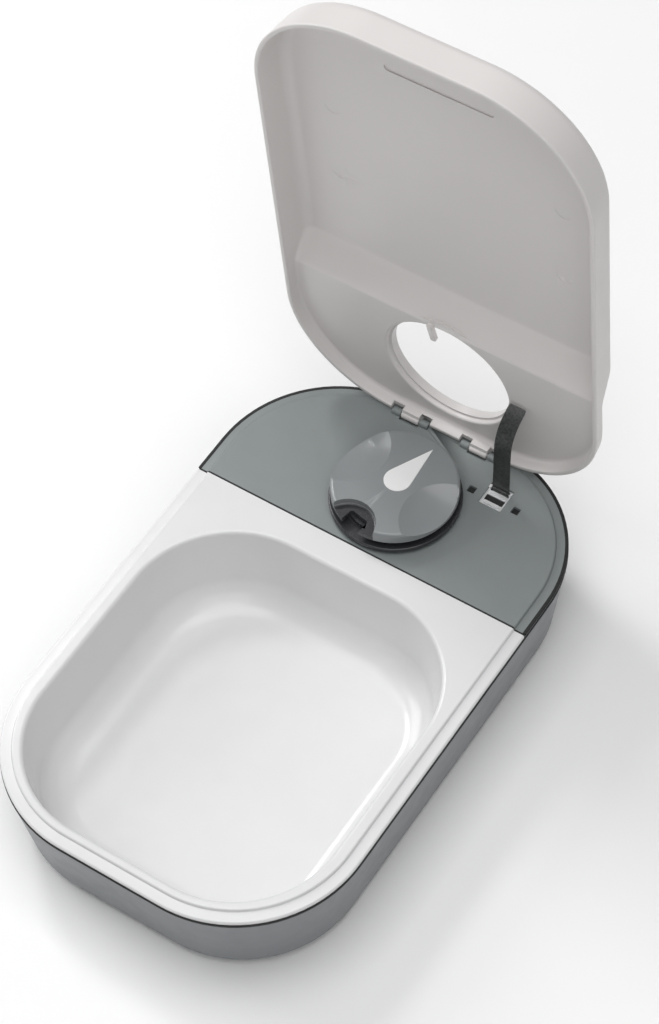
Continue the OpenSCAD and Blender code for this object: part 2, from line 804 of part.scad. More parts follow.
module battery_cover() {
    color("#7b7f83") difference() {
        union() {
            translate([cover_x - cover_l / 2 + 0.3, cell_y - cover_w / 2 + 0.3, floor_z])
                cube([cover_l - 0.6, cover_w - 0.6, 1.4]);
            translate([-26, cell_y - 7.2, floor_z + 1]) cube([53, 14.4, 1.6]);
        }
        for (k = [0 : 4]) translate([-34 + k * 1.8, cell_y - 6, floor_z - 1]) cube([0.8, 12, 1.5]);
        post(cover_screw_at, 1.3, floor_z - 1, floor_z + 4);
        post(cover_screw_at, 2.4, floor_z - 1, floor_z + 0.6);
    }
}

module battery_cover_screw() {
    color("#9a9da0") screw_up(cover_screw_at, 1.05, 2.2, 0.5, floor_z + 0.6, floor_top + 0.6);
}

// ---------- leaf spring ----------

leaf_foot = [126.5, band_z - 0.2];
function leaf_dir(a) = [-cos(a), sin(a)];
leaf_bend = leaf_foot + leaf_low * leaf_dir(leaf_low_angle);

module leaf_part(from, start, end, angle) {
    translate([leaf_x - leaf_w / 2, from[0], from[1]]) rotate([180 - angle, 0, 0])
        translate([0, start, -leaf_t / 2]) cube([leaf_w, end - start, leaf_t]);
}

module leaf_spring_lower() {
    color("#2b2e2c") difference() {
        union() {
            leaf_part(leaf_foot, 0.7, leaf_low - 1, leaf_low_angle);
            translate([leaf_x - leaf_w / 2, leaf_foot[0], leaf_foot[1]]) rotate([0, 90, 0])
                cylinder(h = leaf_w, r = 1);
        }
        leaf_wire(0.4, leaf_w + 2);
    }
}

module leaf_spring_upper() {
    color("#2b2e2c") {
        leaf_part(leaf_bend, 0, leaf_high, leaf_high_angle);
        translate([leaf_x - leaf_w / 2, leaf_bend[0], leaf_bend[1]]) rotate([0, 90, 0])
            cylinder(h = leaf_w, r = 0.6);
    }
}

module spring_clip() {
    color("#dfe1e2") difference() {
        union() {
            translate([leaf_x - pad_w / 2, pad_y - 4.4, pad_z]) cube([pad_w, pad_l, 0.6]);
            // bars across the clip, low enough for the leaf to lie over them
            translate([leaf_x - 4.4, pad_y - 3.4, pad_z + 0.5]) cube([8.8, 1.9, 1.1]);
            translate([leaf_x - 4.4, pad_y + 3.2, pad_z + 0.5]) cube([8.8, 1.9, 0.6]);
            // bearings of the leaf's pivot wire
            for (s = [-1, 1]) translate([leaf_x + s * 5.75 - 0.5, leaf_foot[0] - 1, pad_z + 0.5])
                cube([1, 2, 1.7]);
        }
        for (y = [pad_y - 1, pad_y + 5.2])
            translate([leaf_x - 5.2, y, pad_z - 1]) cube([10.4, y > pad_y ? 3.3 : 3.6, 5]);
        leaf_wire(0.4, 12);
    }
    color("#dfe1e2") leaf_wire(0.35, 12.4);
}

// Wire that the leaf turns on
module leaf_wire(r, length) {
    translate([leaf_x - length / 2, leaf_foot[0], leaf_foot[1]]) rotate([0, 90, 0])
        cylinder(h = length, r = r);
}

base_tub();
rim_seal();
rubber_feet();
bowl();
control_deck();
deck_screws();
hinge_pins();
lid();
dial_knob();
dial_pointer();
dial_shaft();
shaft_bush();
output_wheel();
clutch_spring();
shaft_clip();
third_wheel();
second_wheel();
rotor_pinion();
rotor_magnet();
wheel_arbors();
stator();
coil_bobbin();
coil_winding();
circuit_board();
quartz_crystal();
movement_case();
movement_cover();
movement_screws();
battery_cell();
battery_spring();
battery_plate();
battery_cover();
battery_cover_screw();
spring_clip();
leaf_spring_lower();
leaf_spring_upper();
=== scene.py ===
"""Looks of the single-meal timer feeder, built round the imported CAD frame.

Shapes are drawn in millimetres in the frame's own axes and turned into metres when a mesh is made.
"""
import math

import bmesh
import bpy
from mathutils import Matrix, Vector


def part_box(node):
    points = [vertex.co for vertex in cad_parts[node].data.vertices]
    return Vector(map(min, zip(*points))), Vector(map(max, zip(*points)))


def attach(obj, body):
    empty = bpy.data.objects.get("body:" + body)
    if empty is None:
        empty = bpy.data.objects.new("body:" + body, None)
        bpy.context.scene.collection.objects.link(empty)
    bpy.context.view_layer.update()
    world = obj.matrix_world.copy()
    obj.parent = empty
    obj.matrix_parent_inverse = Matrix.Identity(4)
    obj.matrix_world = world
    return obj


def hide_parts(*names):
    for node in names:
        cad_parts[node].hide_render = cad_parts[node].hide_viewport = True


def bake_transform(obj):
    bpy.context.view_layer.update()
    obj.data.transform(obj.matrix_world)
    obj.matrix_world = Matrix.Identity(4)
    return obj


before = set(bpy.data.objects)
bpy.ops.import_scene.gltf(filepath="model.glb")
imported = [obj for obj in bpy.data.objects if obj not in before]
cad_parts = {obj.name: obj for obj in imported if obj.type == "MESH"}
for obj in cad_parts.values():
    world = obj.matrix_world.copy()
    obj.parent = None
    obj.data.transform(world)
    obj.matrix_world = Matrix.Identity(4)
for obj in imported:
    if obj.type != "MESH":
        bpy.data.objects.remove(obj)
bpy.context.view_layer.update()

MM = 0.001


# ---------------------------------------------------------------- sizes

def box_mm(node):
    """Lowest and highest corner of a CAD node, in millimetres."""
    low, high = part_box(node)
    return [c / MM for c in low], [c / MM for c in high]


TUB_LOW, TUB_HIGH = box_mm("base_tub")
BOWL_LOW, BOWL_HIGH = box_mm("bowl")
DECK_LOW, DECK_HIGH = box_mm("control_deck")
KNOB_LOW, KNOB_HIGH = box_mm("dial_knob")
CLIP_LOW, CLIP_HIGH = box_mm("spring_clip")
PIN_LOW, PIN_HIGH = box_mm("hinge_pins")
SEAL_LOW, SEAL_HIGH = box_mm("rim_seal")

WALL = 2.5
CORNER_R = 66.5
SPINE = (TUB_HIGH[0] - CORNER_R, TUB_LOW[1] + CORNER_R, TUB_HIGH[1] - CORNER_R)
SEAL_TOP = BOWL_HIGH[2] - 4.1
LEDGE_Z = BOWL_HIGH[2] - 1.6
BAND_Z = BOWL_HIGH[2]
BAND_R = CORNER_R - 5.7
JOINT_Y = (BOWL_HIGH[1] + DECK_LOW[1]) / 2
JOINT_GAP = 0.5

OPEN_R = 54.7
OPEN_SPINE = (28.5, BOWL_LOW[1] + 9.8 + OPEN_R, BOWL_LOW[1] + 195.7 - OPEN_R)
BOWL_FLOOR = BOWL_LOW[2] + 2.2

HINGE_Y = (PIN_LOW[1] + PIN_HIGH[1]) / 2
HINGE_Z = (PIN_LOW[2] + PIN_HIGH[2]) / 2
HINGE_X = 20
KNUCKLE_R = 2.0
ARM_W = 10
ARM_GAP = 0.4
KNUCKLE_HALF = 2.5
SWING = 86.8

LID_Z = BAND_Z + 0.3
LID_R = CORNER_R - 6.5
LID_BACK = TUB_HIGH[1] - 9.5
LID_SPINE = (SPINE[0], SPINE[1], LID_BACK - LID_R)
LID_DEEP = LID_Z + 20.5
LID_LOW = LID_Z + 9
STEP_BACK = 58
STEP_FRONT = 44
HOLE_R = 35
COLLAR_TOP = LID_Z + 14

DIAL_Y = (KNOB_LOW[1] + KNOB_HIGH[1]) / 2
DIAL_R = 33.2
DISC_R = 32
DIAL_TOP = 70
DISC_Z = 63.2
FLANGE_Z = 57
GROOVE_Z = 59.6
DIAL_TURN = 12
NOTCH_OUT = 33
NOTCH_R = 14

LEAF_X = (CLIP_LOW[0] + CLIP_HIGH[0]) / 2
LEAF_W = 9.6
LEAF_T = 0.9
LEAF_FOOT = (126.5, BAND_Z - 0.2)
PAD_Y = 120
PAD_Z = BAND_Z - 1.8
PAD_FRONT = PAD_Y - 4.4
PAD_BACK = PAD_Y + 9.2
SLOT_LOW = LEAF_X - 5.2
SLOT_HIGH = LEAF_X + 5.2
SQUARE_X = 12.6
SQUARE_HALF = 2
THROUGH = (40, 70)


# ---------------------------------------------------------------- mesh tools

def piece(name, points, faces):
    """Mesh object from points in millimetres, with its faces turned outwards."""
    mesh = bpy.data.meshes.new(name)
    mesh.from_pydata([[c * MM for c in p] for p in points], [], faces)
    work = bmesh.new()
    work.from_mesh(mesh)
    bmesh.ops.remove_doubles(work, verts=work.verts, dist=1e-7)
    bmesh.ops.recalc_face_normals(work, faces=work.faces)
    work.to_mesh(mesh)
    work.free()
    obj = bpy.data.objects.new(name, mesh)
    bpy.context.scene.collection.objects.link(obj)
    return obj


def settle(obj):
    """Applies the modifiers of an object."""
    bpy.context.view_layer.update()
    graph = bpy.context.evaluated_depsgraph_get()
    mesh = bpy.data.meshes.new_from_object(obj.evaluated_get(graph))
    obj.modifiers.clear()
    obj.data = mesh


def boolean(obj, operation, others):
    for other in others:
        modifier = obj.modifiers.new("shape", "BOOLEAN")
        modifier.operation = operation
        modifier.solver = "EXACT"
        modifier.object = other
        settle(obj)
        bpy.data.objects.remove(other)
    return obj


def cut(obj, *others):
    return boolean(obj, "DIFFERENCE", others)


def add(obj, *others):
    return boolean(obj, "UNION", others)


def keep(obj, *others):
    return boolean(obj, "INTERSECT", others)


def merge_flats(obj):
    """Makes one face of each flat area, so that its shading is even."""
    mesh = bmesh.new()
    mesh.from_mesh(obj.data)
    bmesh.ops.dissolve_limit(mesh, angle_limit=math.radians(0.3), verts=mesh.verts,
                             edges=mesh.edges)
    mesh.to_mesh(obj.data)
    mesh.free()


def soften(obj, width, segments=3, angle=35):
    """Rounds the sharp edges and smooths the shading between them."""
    modifier = obj.modifiers.new("edges", "BEVEL")
    modifier.width = width * MM
    modifier.segments = segments
    modifier.limit_method = "ANGLE"
    modifier.angle_limit = math.radians(angle)
    modifier.miter_outer = "MITER_ARC"
    settle(obj)
    smooth(obj, 50)


def smooth(obj, angle=40):
    obj.data.shade_smooth()
    obj.data.set_sharp_from_angle(angle=math.radians(angle))
    modifier = obj.modifiers.new("normals", "WEIGHTED_NORMAL")
    modifier.keep_sharp = True
    modifier.weight = 100
    settle(obj)


def level_shading(obj):
    """Shades the level faces exactly level, whatever meets them at their corners."""
    mesh = obj.data
    normals = [corner.vector.copy() for corner in mesh.corner_normals]
    for face in mesh.polygons:
        if abs(face.normal.z) > 0.99999:
            for loop in face.loop_indices:
                normals[loop] = face.normal.copy()
    mesh.normals_split_custom_set(normals)


def arc(cx, cy, r, start, end, steps=8):
    """Points on an arc, with both ends, by angle in degrees."""
    angles = [math.radians(start + (end - start) * k / steps) for k in range(steps + 1)]
    return [(cx + r * math.cos(a), cy + r * math.sin(a)) for a in angles]


CORNER_STEPS = 24


def ring(spine, row, stops=()):
    """Outline of a rectangle with round corners. row gives (corner radius, height) at a y."""
    sx, ya, yb = spine
    r, z = row(ya)
    right = [(sx + x, ya + y, z) for x, y in arc(0, 0, r, -90, 0, CORNER_STEPS)]
    for stop in stops:
        r, z = row(stop)
        right.append((sx + r, stop, z))
    r, z = row(yb)
    right += [(sx + x, yb + y, z) for x, y in arc(0, 0, r, 0, 90, CORNER_STEPS)]
    return right + [(-x, y, z) for x, y, z in reversed(right)]


def loft(name, spine, rows, stops=(), loop=False):
    """Closed solid whose rows are (corner radius, height), or functions of y that give them."""
    rings = [ring(spine, row if callable(row) else (lambda y, row=row: row), stops)
             for row in rows]
    n = len(rings[0])
    faces = []
    for i in range(len(rows) if loop else len(rows) - 1):
        a, b = i * n, (i + 1) % len(rows) * n
        faces += [(a + k, a + (k + 1) % n, b + (k + 1) % n, b + k) for k in range(n)]
    if not loop:
        for start in (0, (len(rows) - 1) * n):
            faces += [(start + k, start + k + 1, start + n - 2 - k, start + n - 1 - k)
                      for k in range(n // 2 - 1)]
    return piece(name, [p for one in rings for p in one], faces)


def lathe(name, centre, profile, segments=128):
    """Solid turned about a vertical axis. profile is (radius, height), from axis to axis."""
    cx, cy = centre
    points, faces, n = [], [], segments
    for r, z in profile:
        points += [(cx + x, cy + y, z) for x, y in arc(0, 0, max(r, 0.02), 0, 360, n)[:-1]]
    for i in range(len(profile) - 1):
        a, b = i * n, (i + 1) * n
        faces += [(a + k, a + (k + 1) % n, b + (k + 1) % n, b + k) for k in range(n)]
    faces += [tuple(range(n)), tuple(range(len(points) - n, len(points)))]
    return piece(name, points, faces)


def prism(name, outline, z0, z1):
    """Upright solid on a closed outline."""
    n = len(outline)
    points = [(x, y, z) for z in (z0, z1) for x, y in outline]
    faces = [(k, (k + 1) % n, n + (k + 1) % n, n + k) for k in range(n)]
    return piece(name, points, faces + [tuple(range(n)), tuple(range(n, 2 * n))])


def rounded(x0, y0, x1, y1, r, steps=5):
    return (arc(x1 - r, y0 + r, r, -90, 0, steps) + arc(x1 - r, y1 - r, r, 0, 90, steps)
            + arc(x0 + r, y1 - r, r, 90, 180, steps) + arc(x0 + r, y0 + r, r, 180, 270, steps))


def block(name, low, high, r=0.3):
    return prism(name, rounded(low[0], low[1], high[0], high[1], r), low[2], high[2])


def rod_x(name, x0, x1, y, z, r, segments=32):
    """Round rod along X with rounded ends."""
    e = min(0.3 * r, 0.4)
    profile = [(0, x0), (r - e, x0), (r, x0 + e), (r, x1 - e), (r - e, x1), (0, x1)]
    rod = lathe(name, (0, 0), profile, segments)
    there = Matrix.Translation((0, y * MM, z * MM))
    rod.data.transform(there @ Matrix.Rotation(math.pi / 2, 4, "Y"))
    return rod


def turned(obj, centre, degrees):
    """Turns a mesh about a vertical axis."""
    there = Matrix.Translation((centre[0] * MM, centre[1] * MM, 0))
    obj.data.transform(there @ Matrix.Rotation(math.radians(degrees), 4, "Z") @ there.inverted())
    return obj


def opened(obj):
    """Turns a mesh drawn with the lid closed to where the lid stands open."""
    there = Matrix.Translation((0, HINGE_Y * MM, HINGE_Z * MM))
    obj.data.transform(there @ Matrix.Rotation(math.radians(-SWING), 4, "X") @ there.inverted())
    return obj


def place(obj, body, material, slot, *nodes):
    """Gives a piece its material and body, and hides the CAD nodes that it stands for. The slot
    argument is not used.
    """
    obj.data.materials.clear()
    obj.data.materials.append(material)
    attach(obj, body)
    if nodes:
        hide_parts(*nodes)
    return obj


# ---------------------------------------------------------------- materials

def link(tree, out_node, out_name, in_node, in_name):
    tree.links.new(out_node.outputs[out_name], in_node.inputs[in_name])


def noise(tree, scale, detail=3.0, roughness=0.55):
    """Noise in the object's own space; scale is in features per metre."""
    where = tree.nodes.new("ShaderNodeTexCoord")
    texture = tree.nodes.new("ShaderNodeTexNoise")
    texture.inputs["Scale"].default_value = scale
    texture.inputs["Detail"].default_value = detail
    texture.inputs["Roughness"].default_value = roughness
    link(tree, where, "Object", texture, "Vector")
    return texture


def spread(tree, source, low, high, from_low=0.3, from_high=0.7):
    """Maps a noise value to a range."""
    ramp = tree.nodes.new("ShaderNodeMapRange")
    ramp.inputs["From Min"].default_value = from_low
    ramp.inputs["From Max"].default_value = from_high
    ramp.inputs["To Min"].default_value = low
    ramp.inputs["To Max"].default_value = high
    tree.links.new(source, ramp.inputs["Value"])
    return ramp.outputs["Result"]


def blend_colour(tree, factor, first, second):
    mix = tree.nodes.new("ShaderNodeMix")
    mix.data_type = "RGBA"
    tree.links.new(factor, mix.inputs["Factor"])
    for socket, value in ((6, first), (7, second)):
        if isinstance(value, bpy.types.NodeSocket):
            tree.links.new(value, mix.inputs[socket])
        else:
            mix.inputs[socket].default_value = (*value, 1)
    return mix.outputs[2]


# noise features per metre: colour clouds, worn chips, smears in the gloss
CLOUD_SCALE = 35
CHIP_SCALE = 900
SMEAR_SCALE = 90


def surface(name, colour, rough=(0.3, 0.4), mottle=0.04, grain=(2500, 0.02), wave=(60, 0.0),
            wear=0.0, metal=0.0, **sockets):
    """Principled surface with mottled colour, uneven gloss, grain, soft waviness and worn edges.

    grain and wave are (features per metre, depth in millimetres), and a depth of 0 leaves them out.
    sockets sets the shader's own sockets by name.
    """
    material = bpy.data.materials.new(name)
    material.use_nodes = True
    tree = material.node_tree
    shader = tree.nodes["Principled BSDF"]
    shader.inputs["Metallic"].default_value = metal
    for socket, value in sockets.items():
        shader.inputs[socket.replace("_", " ")].default_value = value

    cloud = noise(tree, CLOUD_SCALE, 4)
    dark = [c * (1 - mottle) for c in colour]
    light = [min(1, c * (1 + mottle)) for c in colour]
    base = blend_colour(tree, spread(tree, cloud.outputs["Fac"], 0, 1), dark, light)
    if wear:
        edges = tree.nodes.new("ShaderNodeNewGeometry")
        chips = noise(tree, CHIP_SCALE, 5)
        worn = tree.nodes.new("ShaderNodeMath")
        worn.operation = "MULTIPLY"
        corners = spread(tree, edges.outputs["Pointiness"], 0, wear, 0.505, 0.56)
        tree.links.new(corners, worn.inputs[0])
        tree.links.new(spread(tree, chips.outputs["Fac"], 0.2, 1, 0.4, 0.6), worn.inputs[1])
        pale = [c + (1 - c) * 0.5 for c in colour]
        base = blend_colour(tree, worn.outputs["Value"], base, pale)
    tree.links.new(base, shader.inputs["Base Color"])

    smear = noise(tree, SMEAR_SCALE, 5, 0.65)
    tree.links.new(spread(tree, smear.outputs["Fac"], *rough), shader.inputs["Roughness"])

    last = None
    for (features, depth), detail in ((wave, 1), (grain, 2)):
        if not depth:
            continue
        bump = tree.nodes.new("ShaderNodeBump")
        bump.inputs["Distance"].default_value = depth * MM
        link(tree, noise(tree, features, detail), "Fac", bump, "Height")
        if last:
            link(tree, last, "Normal", bump, "Normal")
        last = bump
    if last:
        link(tree, last, "Normal", shader, "Normal")
    return material


WHITE = surface("white_gloss_plastic", (0.76, 0.76, 0.765), (0.16, 0.26), 0.01,
                (1800, 0.0015), (45, 0.06))
LID_WHITE = surface("lid_white_plastic", (0.7, 0.675, 0.665), (0.28, 0.38), 0.006, (1500, 0.0))
SKIRT = surface("skirt_grey_plastic", (0.21, 0.222, 0.235), (0.34, 0.44), 0.03,
                (2600, 0.006), (40, 0.06))
DECK = surface("deck_grey_plastic", (0.232, 0.255, 0.255), (0.3, 0.4), 0.02,
               (2200, 0.003), (45, 0.06))
SMOKE = surface("smoked_dial_plastic", (0.24, 0.255, 0.262), (0.28, 0.36), 0.03,
                (900, 0.0), Coat_Weight=0.3, Coat_Roughness=0.12)
# near-black dial plastic, partly a dark inner part, partly painted shade in the dial's groove, slot
# and notch
DIAL_DARK_AND_SHADE = surface("dark_dial_plastic_and_painted_shade", (0.035, 0.036, 0.04), (0.2, 0.3), 0.1, (1200, 0.003))
INLAY = surface("pointer_white_plastic", (0.84, 0.84, 0.84), (0.28, 0.38), 0.01, (2000, 0.002))
# black rubber for the seal, also used as painted shade in the joint, the two square holes and the
# clip's window
SEAL_RUBBER_AND_SHADE = surface("black_seal_rubber_and_painted_shade", (0.012, 0.012, 0.013), (0.5, 0.68), 0.2, (3000, 0.02))
FOOT = surface("foot_rubber", (0.02, 0.02, 0.021), (0.55, 0.75), 0.2, (3000, 0.03))
LEAF = surface("black_spring_strip", (0.018, 0.021, 0.019), (0.3, 0.42), 0.15,
               (1600, 0.003), (200, 0.02), wear=0.12)
CHROME = surface("bright_clip_metal", (0.88, 0.89, 0.9), (0.28, 0.4), 0.03,
                 (1400, 0.003), metal=0.45)
STEEL = surface("zinc_plated_steel", (0.55, 0.56, 0.57), (0.28, 0.45), 0.1, (1800, 0.01), metal=1.0)
BRASS = surface("turned_brass", (0.62, 0.43, 0.17), (0.22, 0.36), 0.08, (1500, 0.01), metal=1.0)
NICKEL = surface("nickel_contact", (0.7, 0.71, 0.72), (0.2, 0.34), 0.08, (1600, 0.01), metal=1.0)
IRON = surface("core_iron", (0.2, 0.2, 0.21), (0.45, 0.6), 0.15, (1500, 0.02), metal=0.8)
GEAR = surface("natural_acetal", (0.72, 0.69, 0.6), (0.34, 0.48), 0.05, (2200, 0.01),
               Subsurface_Weight=0.15, Subsurface_Scale=0.002)
CASE = surface("pale_grey_plastic", (0.62, 0.63, 0.64), (0.38, 0.5), 0.04, (2600, 0.015))
NYLON = surface("black_nylon", (0.03, 0.03, 0.032), (0.4, 0.55), 0.15, (2400, 0.012))
COPPER = surface("enamelled_copper", (0.45, 0.15, 0.06), (0.18, 0.3), 0.15, (5200, 0.05), metal=0.9)
BOARD = surface("circuit_board_green", (0.03, 0.13, 0.06), (0.3, 0.42), 0.15, (1200, 0.01))
WRAP = surface("blue_cell_wrap", (0.05, 0.15, 0.33), (0.18, 0.3), 0.08, (900, 0.008))

NODE_MATERIALS = {
    "base_tub": SKIRT, "rubber_feet": FOOT, "deck_screws": STEEL, "hinge_pins": STEEL,
    "dial_shaft": STEEL, "shaft_bush": BRASS, "output_wheel": GEAR, "clutch_spring": STEEL,
    "shaft_clip": STEEL, "third_wheel": GEAR, "second_wheel": GEAR, "rotor_pinion": GEAR,
    "rotor_magnet": IRON, "wheel_arbors": STEEL, "stator": IRON, "coil_bobbin": NYLON,
    "coil_winding": COPPER, "circuit_board": BOARD, "quartz_crystal": NICKEL,
    "movement_case": CASE, "movement_cover": CASE, "movement_screws": STEEL,
    "battery_cell": WRAP, "battery_spring": NICKEL, "battery_plate": NICKEL,
    "battery_cover": SKIRT, "battery_cover_screw": STEEL,
}


def dress_nodes():
    for name, material in NODE_MATERIALS.items():
        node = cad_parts[name]
        if not node.material_slots:
            node.data.materials.append(material)
        for one in node.material_slots:
            one.material = material


# ---------------------------------------------------------------- upper mouldings

def rim_rows():
    """Section of the two-level rim as an open-bottomed shell, from its underside to its top."""
    inner = BAND_R - WALL
    return ([(20, BAND_Z - WALL), (inner - 0.8, BAND_Z - WALL), (inner, BAND_Z - WALL - 0.8),
             (inner, SEAL_TOP), (CORNER_R - 0.5, SEAL_TOP), (CORNER_R - 0.1, SEAL_TOP + 0.4)]
            + arc(CORNER_R - 1.0, LEDGE_Z - 1.0, 1.0, 0, 90, 6)
            + [(BAND_R + 0.5, LEDGE_Z), (BAND_R + 0.12, LEDGE_Z + 0.12), (BAND_R, LEDGE_Z + 0.5)]
            + arc(BAND_R - 1.1, BAND_Z - 1.0, 1.0, 0, 90, 6)
            + [(20, BAND_Z)])


def half_space(front, back):
    return prism("half_space", [(-120, front), (120, front), (120, back), (-120, back)], 0, 120)


def bowl_rows(offset, fillet, top):
    """Section of the basin, from its floor upwards."""
    foot = OPEN_R - 5 + offset
    floor = BOWL_FLOOR - offset
    return ([(0.5, floor), (foot - fillet, floor)]
            + arc(foot - fillet, floor + fillet, fillet, -84, -4, 14) + top)


def make_bowl():
    rim = keep(loft("bowl_shell", SPINE, rim_rows()), half_space(-200, JOINT_Y - JOINT_GAP))
    edge = SPINE[0] + BAND_R - WALL
    skirt = block("edge", (-edge, JOINT_Y - 2.8, SEAL_TOP),
                  (edge, JOINT_Y - JOINT_GAP, BAND_Z - WALL + 0.4))
    outside = loft("outside", OPEN_SPINE, bowl_rows(2.2, 18, [(OPEN_R + 2.0, BAND_Z - 1.4)]))
    lip = 2.2
    inside = loft("inside", OPEN_SPINE, bowl_rows(
        0, 16, [(OPEN_R - 0.9, BAND_Z - lip - 0.6)]
        + arc(OPEN_R - 0.7 + lip, BAND_Z - lip, lip, 180, 96, 8)
        + [(OPEN_R - 0.7 + lip, BAND_Z + 2)]))
    bowl = cut(add(rim, skirt, outside), inside)
    soften(bowl, 0.35, 2, 40)
    return place(bowl, "bowl", WHITE, "bowl_plastic", "bowl")


def make_deck():
    deck = keep(loft("deck_shell", SPINE, rim_rows()), half_space(JOINT_Y + JOINT_GAP, 200))
    edge = SPINE[0] + BAND_R - WALL
    front = block("front", (-edge, JOINT_Y + JOINT_GAP, SEAL_TOP), (edge, JOINT_Y + 2.8, BAND_Z - 1))
    seat = block("seat", (LEAF_X - 16, PAD_Y - 6, 47), (LEAF_X + 16, PAD_Y + 11, BAND_Z - 1), 2)
    hub = lathe("hub", (0, DIAL_Y), [(0, 40), (8.5, 40), (8.5, BAND_Z - 0.2)]
                + arc(7.7, BAND_Z - 0.2, 0.8, 0, 90, 4) + [(0, BAND_Z + 0.6)])
    add(deck, front, seat, hub)
    cut(deck, lathe("bore", (0, DIAL_Y), [(0, 30), (5.02, 30), (5.02, 70), (0, 70)], 96))
    for side in (-1, 1):
        x = side * HINGE_X
        add(deck, block("bar", (x - 13, HINGE_Y - 5.5, 49.5), (x + 13, HINGE_Y + 2, BAND_Z - 0.5)))
        for end in (-1, 1):
            middle = x + end * (ARM_W / 2 + ARM_GAP + KNUCKLE_HALF)
            left, right = middle - KNUCKLE_HALF, middle + KNUCKLE_HALF
            foot = block("foot", (left, HINGE_Y - KNUCKLE_R, BAND_Z - 1),
                         (right, HINGE_Y + KNUCKLE_R, HINGE_Z), 0.2)
            add(deck, foot, rod_x("knuckle", left, right, HINGE_Y, HINGE_Z, KNUCKLE_R, 48))
        cut(deck, block("pocket", (x - ARM_W / 2 - ARM_GAP, HINGE_Y - 3.2, HINGE_Z - 2.9),
                        (x + ARM_W / 2 + ARM_GAP, HINGE_Y + 3.3, HINGE_Z + 7), 0.2))
        cut(deck, rod_x("pin_hole", x - 9.5, x + 9.5, HINGE_Y, HINGE_Z, 1.22, 48))
    cut(deck, block("pad", (CLIP_LOW[0] - 0.05, PAD_FRONT - 0.05, PAD_Z),
                    (CLIP_HIGH[0] + 0.05, PAD_BACK + 0.05, BAND_Z + 3), 0.5))
    cut(deck, block("well", (SLOT_LOW, LEAF_FOOT[0] - 1.8, BAND_Z - 4),
                    (SLOT_HIGH, LEAF_FOOT[0] + 1.8, BAND_Z + 3), 0.3))
    for side in (-1, 1):
        x = LEAF_X + side * SQUARE_X
        cut(deck, block("square", (x - SQUARE_HALF, PAD_Y - SQUARE_HALF, THROUGH[0]),
                        (x + SQUARE_HALF, PAD_Y + SQUARE_HALF, THROUGH[1]), 0.4))
    soften(deck, 0.3, 2, 40)
    return place(deck, "base", DECK, "deck_plastic", "control_deck")


def make_seal():
    bulge = SEAL_HIGH[0] - SPINE[0]
    middle = (SEAL_LOW[2] + SEAL_HIGH[2]) / 2
    half = (SEAL_HIGH[2] - SEAL_LOW[2]) / 2
    section = [(CORNER_R - WALL, SEAL_LOW[2])] \
        + [(bulge - half * 0.6 + half * 0.6 * math.cos(a), middle + half * math.sin(a))
           for a in (math.radians(-90 + 18 * k) for k in range(11))] \
        + [(CORNER_R - WALL, SEAL_HIGH[2])]
    seal = loft("seal_bead", SPINE, section, loop=True)
    inner, outer, low = CORNER_R - 1.6, CORNER_R + 0.2, LEDGE_Z - 1.0
    lip = [(inner, low), (outer, low)] + arc(outer - 0.4, LEDGE_Z - 0.2, 0.4, 0, 90, 4) \
        + arc(inner + 0.4, LEDGE_Z - 0.2, 0.4, 90, 180, 4)
    add(seal, keep(loft("lip", SPINE, lip, loop=True), half_space(JOINT_Y + JOINT_GAP, 200)))
    # black strips that fill the joint between bowl and deck: painted shade in the gap
    edge = SPINE[0] + BAND_R
    for reach, top in ((edge - 0.8, BAND_Z - 0.5), (edge + 5, LEDGE_Z - 0.4)):
        add(seal, block("joint", (-reach, JOINT_Y - 0.1, SEAL_TOP - 0.5),
                        (reach, JOINT_Y + JOINT_GAP + 0.4, top), 0.2))
    # dark plugs at the bottom of the two square holes beside the clip: painted shade that makes the
    # holes look deep and black
    grip = SQUARE_HALF + 0.4
    for side in (-1, 1):
        x = LEAF_X + side * SQUARE_X
        add(seal, block("plug", (x - grip, PAD_Y - grip, 49.8), (x + grip, PAD_Y + grip, 54.0)))
    # dark bed under the clip's window: painted shade that makes the window look deep and black
    add(seal, block("bed", (SLOT_LOW + 0.1, PAD_Y - 0.9, PAD_Z - 0.4),
                    (SLOT_HIGH - 0.1, PAD_Y + 2.5, PAD_Z + 0.15)))
    smooth(seal, 50)
    return place(seal, "base", SEAL_RUBBER_AND_SHADE, "seal_rubber", "rim_seal")


# ---------------------------------------------------------------- lid

def step(y):
    """1 over the bowl, 0 over the deck, and a rounded ramp between them."""
    t = min(1, max(0, (STEP_BACK + 1.5 - y) / (STEP_BACK - STEP_FRONT + 3)))
    soft = t * t * (3 - 2 * t)
    return 0.55 * t + 0.45 * soft


def lid_row(share, inset, drop):
    """Row of the lid's shell. share runs 0 to 1 up the wall, 1 to 2 round the edge, 2 to 3 inwards."""
    def row(y):
        deep = step(y)
        top = LID_LOW + (LID_DEEP - LID_LOW) * deep - drop
        lean = 0.64 + 0.96 * deep
        fillet = 3.5 + 3.0 * deep - inset * 0.5
        if share <= 1:
            return LID_R - inset - lean * share, LID_Z + (top - fillet - LID_Z) * share
        if share <= 2:
            a = (share - 1) * math.pi / 2
            return (LID_R - inset - lean - fillet + fillet * math.cos(a),
                    top - fillet + fillet * math.sin(a))
        edge = LID_R - inset - lean - fillet
        return edge + (14 - edge) * (share - 2), top
    return row


def lid_stops():
    """Stations along the sides, close together at the step."""
    plain = [LID_SPINE[1] + 12 * k for k in range(1, 10)]
    ramp = [STEP_FRONT - 6 + k * 1.0 for k in range(0, 25)]
    return [y for y in plain if y < ramp[0] - 4] + ramp


